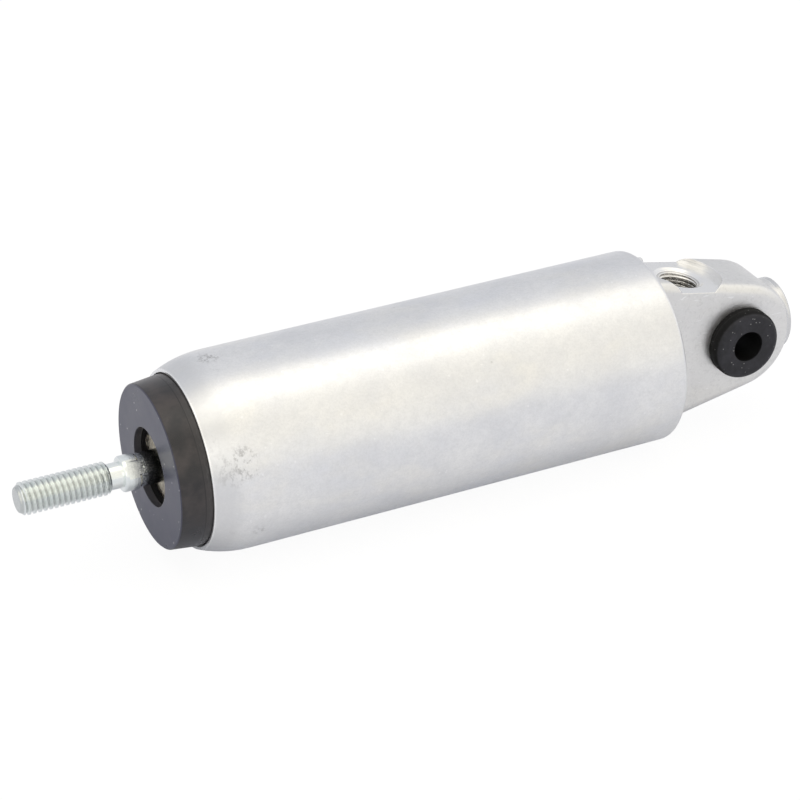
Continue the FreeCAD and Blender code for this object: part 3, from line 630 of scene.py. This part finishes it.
def rod_outline(x):
    """The rod's plain radius at x, without flats and thread."""
    if x <= BALL_CENTRE + math.sqrt(BALL_RADIUS ** 2 - ROD_RADIUS ** 2):
        return math.sqrt(max(BALL_RADIUS ** 2 - (x - BALL_CENTRE) ** 2, 0.0))
    if x <= COLLAR_BACK - COLLAR_CHAMFER:
        return ROD_RADIUS
    if x <= COLLAR_BACK:
        share = (x - COLLAR_BACK + COLLAR_CHAMFER) / COLLAR_CHAMFER
        return ROD_RADIUS + (COLLAR_RADIUS - ROD_RADIUS) * share
    if x <= COLLAR_FRONT - COLLAR_ROUND:
        return COLLAR_RADIUS
    if x <= COLLAR_FRONT:
        drop = (x - COLLAR_FRONT + COLLAR_ROUND) / COLLAR_ROUND
        return COLLAR_RADIUS - COLLAR_ROUND * (1 - math.sqrt(max(1 - drop * drop, 0.0)))
    if x <= THREAD_BACK:
        return NECK_RADIUS
    if x <= THREAD_BACK + THREAD_LEAD:
        return NECK_RADIUS + (ROD_RADIUS - NECK_RADIUS) * (x - THREAD_BACK) / THREAD_LEAD
    if x <= THREAD_FRONT:
        return ROD_RADIUS
    if x <= ROD_TIP - ROD_TIP_EDGE:
        share = (x - THREAD_FRONT) / (ROD_TIP - ROD_TIP_EDGE - THREAD_FRONT)
        return ROD_RADIUS + (ROD_TIP_RADIUS + ROD_TIP_EDGE - ROD_RADIUS) * share
    share = (x - ROD_TIP + ROD_TIP_EDGE) / ROD_TIP_EDGE
    return ROD_TIP_RADIUS + ROD_TIP_EDGE * math.sqrt(max(1 - share * share, 0.0))


def rod_radius_at(x, angle):
    """The rod's radius with its flats and its thread, which deepens over THREAD_FADE."""
    r = rod_outline(x)
    if FLAT_BACK < x < FLAT_FRONT:
        across = abs(math.cos(angle - FLAT_TURN))
        if across > 1e-6:
            r = min(r, FLAT_HALF_WIDTH / across)
    if x > THREAD_BACK:
        fade = min((x - THREAD_BACK) / THREAD_FADE, 1.0)
        phase = x / ROD_PITCH - angle / (2 * math.pi)
        root = ROD_RADIUS - thread_profile(phase, THREAD_DEPTH * fade, CREST_SEAM)
        r = min(r, root)
    return r


def spread(start, end, step):
    """Even places from start to just short of end, no further apart than step."""
    count = max(1, math.ceil((end - start) / step))
    return [start + (end - start) * k / count for k in range(count)]


def rod_stations():
    """Where along the rod its rings of points lie: close together where the outline bends."""
    tiny, past_ball = 0.004, BALL_CENTRE + 4.0
    xs = [BALL_CENTRE - BALL_RADIUS * math.cos(math.radians(a)) for a in range(3, 144, 4)]
    xs += [past_ball, FLAT_BACK - tiny, FLAT_BACK + tiny, FLAT_FRONT - tiny, FLAT_FRONT + tiny]
    xs += [COLLAR_BACK - COLLAR_CHAMFER, COLLAR_BACK]
    xs += [COLLAR_FRONT - COLLAR_ROUND * math.cos(math.radians(a)) for a in range(0, 90, 9)]
    xs += [COLLAR_FRONT, COLLAR_FRONT + tiny, THREAD_BACK]
    xs += spread(THREAD_BACK + 0.05, ROD_TIP - ROD_TIP_EDGE, ROD_PITCH / RINGS_A_TURN)
    xs += [ROD_TIP - ROD_TIP_EDGE * (1 - math.sin(math.radians(a))) for a in range(0, 91, 10)]
    return sorted(set(round(x, 5) for x in xs))


def make_rod(material):
    """The rod with its ball, flats, collar, neck and rolled M6 thread, as one closed surface."""
    bm = bmesh.new()
    angles = rod_angles()
    rings = [ring_of_points(bm, x, rod_radius_at, angles) for x in rod_stations()]
    for one, other in zip(rings, rings[1:]):
        bridge(bm, one, other)
    close_with_point(bm, rings[0], BALL_CENTRE - BALL_RADIUS)
    close_with_point(bm, rings[-1], ROD_TIP)
    mesh = finish_mesh(bm, "threaded_rod", 14)
    rod = add_piece("threaded_rod", mesh, material, "piston_rod")
    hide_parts("piston_rod")


def port_wall(depth, angle):
    """The port's threaded wall: the countersink runs on, then come an internal fine thread's crests."""
    slope = (PORT_SINK_RADIUS - PORT_OUTER) / PORT_SINK_DEPTH
    cone = PORT_OUTER - slope * (depth - PORT_TOP)
    phase = depth / PORT_PITCH + angle / (2 * math.pi)
    started = min(max((depth - PORT_TOP - PORT_RUN_IN) / PORT_PITCH, 0.0), 1.0)
    thread = PORT_CREST + thread_profile(phase, (PORT_ROOT - PORT_CREST) * started)
    return max(cone, thread)


def back_of_wall(_depth, _angle):
    """The sleeve's outer side: a plain cylinder, a hair inside the wall of the housing's hole."""
    return PORT_OUTER + 0.01


def make_port_thread(material):
    """The threaded wall inside the air port, a closed sleeve set into its hole."""
    bm = bmesh.new()
    angles = even_angles(PORT_SEGMENTS)
    depths = spread(PORT_TOP, PORT_BOTTOM, PORT_PITCH / RINGS_A_TURN) + [PORT_BOTTOM]
    inner = [ring_of_points(bm, d, port_wall, angles) for d in depths]
    top = ring_of_points(bm, PORT_TOP, back_of_wall, angles)
    bottom = ring_of_points(bm, PORT_BOTTOM, back_of_wall, angles)
    for one, other in zip(inner, inner[1:]):
        bridge(bm, one, other)
    bridge(bm, top, inner[0])
    bridge(bm, inner[-1], bottom)
    bridge(bm, bottom, top)
    down = Vector((math.sin(PORT_TILT), 0, -math.cos(PORT_TILT)))
    side = Vector((0, 1, 0))
    frame_of_port = Matrix((down, side, down.cross(side))).transposed().to_4x4()
    frame_of_port.translation = PORT_CENTRE * MM
    bmesh.ops.transform(bm, matrix=frame_of_port, verts=bm.verts)
    mesh = finish_mesh(bm, "port_thread", 32)
    add_piece("port_thread", mesh, material, "housing")


def add_fibre(bm, path, radius):
    """A hair of three sides along a path of points in metres, thinner towards its ends."""
    rings = []
    for i, point in enumerate(path):
        ahead = path[min(i + 1, len(path) - 1)] - path[max(i - 1, 0)]
        side = ahead.cross(Vector((0.3, 0.5, 0.8))).normalized()
        other = ahead.cross(side).normalized()
        thin = radius * (1 - 0.6 * abs(2 * i / (len(path) - 1) - 1))
        spots = []
        for k in range(3):
            angle = 2 * math.pi * k / 3
            offset = side * math.cos(angle) + other * math.sin(angle)
            spots.append(bm.verts.new(point + offset * thin))
        rings.append(spots)
    for one, two in zip(rings, rings[1:]):
        bridge(bm, one, two)
    bm.faces.new(rings[0])
    bm.faces.new(rings[-1])


def fibre_path(rng, start, heading, length, lift):
    """A wandering line that stays near the felt's face and rises a little in its middle."""
    points = [start.copy()]
    steps = 9
    turn = rng.uniform(-0.5, 0.5)
    for i in range(1, steps):
        heading += turn + rng.uniform(-0.35, 0.35)
        step = length / steps
        rise = lift * math.sin(math.pi * i / (steps - 1))
        last = points[-1]
        points.append(Vector((start.x + rise, last.y + step * math.cos(heading),
                              last.z + step * math.sin(heading))))
    return points


def make_felt_fibres(material):
    """Loose wool fibres standing on the felt's front face, where the cap's hole shows it."""
    count, inner, outer, off_rod = 240, 3.4, 7.6, 3.15
    rng = random.Random(7)
    bm = bmesh.new()
    made = 0
    while made < count:
        angle = rng.uniform(0, 2 * math.pi)
        out = rng.uniform(inner, outer)
        start = Vector((FELT_FRONT - 0.01, out * math.cos(angle), out * math.sin(angle))) * MM
        length = rng.uniform(0.8, 2.6) * MM
        lift = rng.uniform(0.03, 0.28) * MM
        path = fibre_path(rng, start, rng.uniform(0, 2 * math.pi), length, lift)
        if min(math.hypot(p.y, p.z) for p in path) < off_rod * MM:
            continue
        add_fibre(bm, path, rng.uniform(0.014, 0.030) * MM)
        made += 1
    mesh = finish_mesh(bm, "felt_fibres", 180)
    add_piece("felt_fibres", mesh, material, "wiper")


def curl_path(centre, radius, turns, start_angle, drift):
    """A loose curl: circling in the felt's plane while it drifts and stands off the face."""
    steps_a_turn, height = 14, 0.35
    steps = round(turns * steps_a_turn)
    points = []
    for i in range(steps + 1):
        share = i / steps
        angle = start_angle + 2 * math.pi * turns * share
        size = radius * (1 - 0.35 * share)
        lift = height * MM * math.sin(math.pi * share)
        offset = Vector((lift, size * math.cos(angle), size * math.sin(angle)))
        points.append(centre + drift * share + offset)
    return points


def make_stray_curls(material):
    """A few wool curls that have worked loose beside the rod, in front of the washer's dark wall."""
    around_degrees, thickness = (158, 166, 172, 205), 0.045
    rng = random.Random(11)
    bm = bmesh.new()
    for around in around_degrees:
        angle = math.radians(around)
        out = rng.uniform(6.3, 6.7) * MM
        centre = Vector(((FELT_FRONT + 0.9) * MM, out * math.cos(angle), out * math.sin(angle)))
        drift = Vector((-0.8, rng.uniform(0.2, 0.8), rng.uniform(-0.5, 0.5))) * MM
        size = rng.uniform(0.28, 0.42) * MM
        path = curl_path(centre, size, rng.uniform(1.2, 1.8), rng.uniform(0, 6), drift)
        add_fibre(bm, path, thickness * MM)
    mesh = finish_mesh(bm, "felt_curls", 180)
    add_piece("felt_curls", mesh, material, "housing")


def make_soft_spring(material):
    """The return spring: its own copy of the CAD node's mesh, on the housing, in place of the CAD node.
    """
    mesh = NODES["return_spring"].data.copy()
    mesh.materials.clear()
    spring = add_piece("soft_return_spring", mesh, material, "housing")
    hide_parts("return_spring")
    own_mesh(spring)


# ---- stage, lights and camera ---------------------------------------------------------------


# the tent's brightness against the angle from straight up, towards the front, in degrees
COOL, EVEN = (0.955, 0.970, 1.02), (0.985, 0.985, 1.0)
MILD, WARM = (1.0, 0.985, 0.955), (1.0, 0.970, 0.905)
TENT_STRENGTH = 1.28
TENT = (
    (-180, 0.53, COOL),
    (-94, 0.57, COOL),
    (-58, 0.58, COOL),
    (-34, 0.63, COOL),
    (-20, 0.65, EVEN),
    (-14, 0.97, WARM),
    (4, 0.99, WARM),
    (20, 0.88, WARM),
    (38, 0.79, WARM),
    (62, 0.81, WARM),
    (86, 0.78, MILD),
    (180, 0.50, COOL),
)


def fill_ramp(ramp, stops):
    """Put the stops, given as angle, brightness and tint, on a colour ramp that covers a turn."""
    while len(ramp.elements) > 1:
        ramp.elements.remove(ramp.elements[-1])
    for i, (angle, value, tint) in enumerate(stops):
        place = angle / 360 + 0.5
        stop = ramp.elements[0] if i == 0 else ramp.elements.new(place)
        stop.position = place
        stop.color = grey(value, tint)


def glowing(g, paper, glow, strength):
    """Plain paper that also glows."""
    card = g.node("BsdfDiffuse", None, Color=paper)
    light = g.node("Emission", None, Color=glow, Strength=strength)
    both = g.node("AddShader")
    g.feed(both.inputs[0], card.outputs[0])
    g.feed(both.inputs[1], light.outputs[0])
    return both.outputs[0]


def make_floor():
    """A pale floor that looks white to the camera and grey to what it is reflected in."""
    bm = bmesh.new()
    reach = 3.0
    low = CAD_BOX[0].z
    corners = ((-reach, -reach), (reach, -reach), (reach, reach), (-reach, reach))
    bm.faces.new([bm.verts.new((x, y, low)) for x, y in corners])
    mesh = bpy.data.meshes.new("floor")
    bm.to_mesh(mesh)
    bm.free()
    material = bpy.data.materials.new("floor_white")
    material.use_nodes = True
    g = Graph(material.node_tree)
    to_camera = glowing(g, paper=grey(0.09), glow=grey(1.0), strength=0.93)
    to_part = glowing(g, paper=grey(0.74, (0.95, 0.965, 1.03)), glow=grey(1.0, (0.90, 0.94, 1.0)),
                      strength=0.09)
    pick = g.node("MixShader")
    g.feed(pick.inputs[0], g.node("LightPath").outputs["Is Camera Ray"])
    g.feed(pick.inputs[1], to_part)
    g.feed(pick.inputs[2], to_camera)
    g.feed(g.node("OutputMaterial").inputs["Surface"], pick.outputs[0])
    mesh.materials.append(material)
    floor = bpy.data.objects.new("floor", mesh)
    bpy.context.scene.collection.objects.link(floor)


def make_world():
    """A light tent, white to the camera: a bright panel overhead with a clear back edge, and walls."""
    world = bpy.data.worlds.new("studio")
    bpy.context.scene.world = world
    world.use_nodes = True
    g = Graph(world.node_tree)
    direction = g.node("TexCoord").outputs["Generated"]
    split = g.node("SeparateXYZ", None, Vector=direction)
    turn = g.math("ARCTAN2", split.outputs["Y"], split.outputs["Z"])
    share = g.math("ADD", g.times(turn, 1 / (2 * math.pi)), 0.5)
    ramp = g.node("ValToRGB", None, Fac=share)
    fill_ramp(ramp.color_ramp, TENT)
    ends = g.math("POWER", g.math("ABSOLUTE", split.outputs["X"]), 6.0)
    level = g.mix(ends, ramp.outputs[0], grey(0.84, (0.995, 0.995, 1.0)))
    seen = g.node("LightPath").outputs["Is Camera Ray"]
    colour = g.mix(seen, level, grey(1.0))
    background = g.node("Background", None, Color=colour, Strength=TENT_STRENGTH)
    g.feed(g.node("OutputWorld").inputs["Surface"], background.outputs[0])


def area_light(name, place, target, size, power, tint):
    """A rectangular lamp, two side lengths in metres and a power in watts, turned to its target."""
    data = bpy.data.lights.new(name, "AREA")
    data.shape = "RECTANGLE"
    data.size, data.size_y = size
    data.energy = power
    data.color = tint
    light = bpy.data.objects.new(name, data)
    light.location = place
    light.rotation_mode = "QUATERNION"
    light.rotation_quaternion = (Vector(target) - Vector(place)).to_track_quat("-Z", "Y")
    bpy.context.scene.collection.objects.link(light)


def make_lights():
    """Weak soft lamps that shape the tent's even light."""
    middle = (0.06, 0, 0)
    area_light("softbox_top", place=(0.04, 0.06, 0.70), target=middle, size=(0.8, 0.35), power=0.25,
               tint=(1.0, 0.985, 0.955))
    area_light("key_front", place=(0.45, 0.80, 0.45), target=middle, size=(0.5, 0.5), power=0.30,
               tint=(1.0, 0.99, 0.975))


def make_camera():
    """The camera where the photographer stood: a long lens, from the front and a little above."""
    data = bpy.data.cameras.new("camera")
    data.lens = 135
    data.sensor_width = 36
    data.clip_start = 0.01
    data.clip_end = 20
    camera = bpy.data.objects.new("camera", data)
    right = Vector((-0.9006, 0.4343, -0.0155)).normalized()
    back = Vector((0.3721, 0.7892, 0.4886)).normalized()
    back = (back - right * back.dot(right)).normalized()
    turn = Matrix((right, back.cross(right), back)).transposed()
    camera.matrix_world = Matrix.Translation((0.26803, 0.42620, 0.26479)) @ turn.to_4x4()
    bpy.context.scene.collection.objects.link(camera)
    bpy.context.scene.camera = camera


def set_view():
    """Plain colours, with no film look."""
    scene = bpy.context.scene
    scene.view_settings.view_transform = "Standard"
    scene.view_settings.look = "None"
    scene.view_settings.exposure = 0.0
    scene.view_settings.gamma = 1.0


# ---- the scene ------------------------------------------------------------------------------

make_camera()
set_view()
make_world()
make_lights()
make_floor()
MATERIALS = {
    "housing_aluminium": aluminium_housing(),
    "cap_plastic": cap_plastic(),
    "black_rubber": black_rubber(),
    "cream_felt": cream_felt(),
    "rod_zinc": rod_zinc(),
    "plated_steel": plated_steel(),
    "spring_steel": spring_steel(),
    "piston_aluminium": aluminium_turned(),
    "ring_plastic": natural_plastic(),
}
dress_cad_nodes(MATERIALS)
make_rod(MATERIALS["rod_zinc"])
make_port_thread(aluminium_thread())
make_felt_fibres(MATERIALS["cream_felt"])
make_stray_curls(MATERIALS["cream_felt"])
make_soft_spring(MATERIALS["spring_steel"])
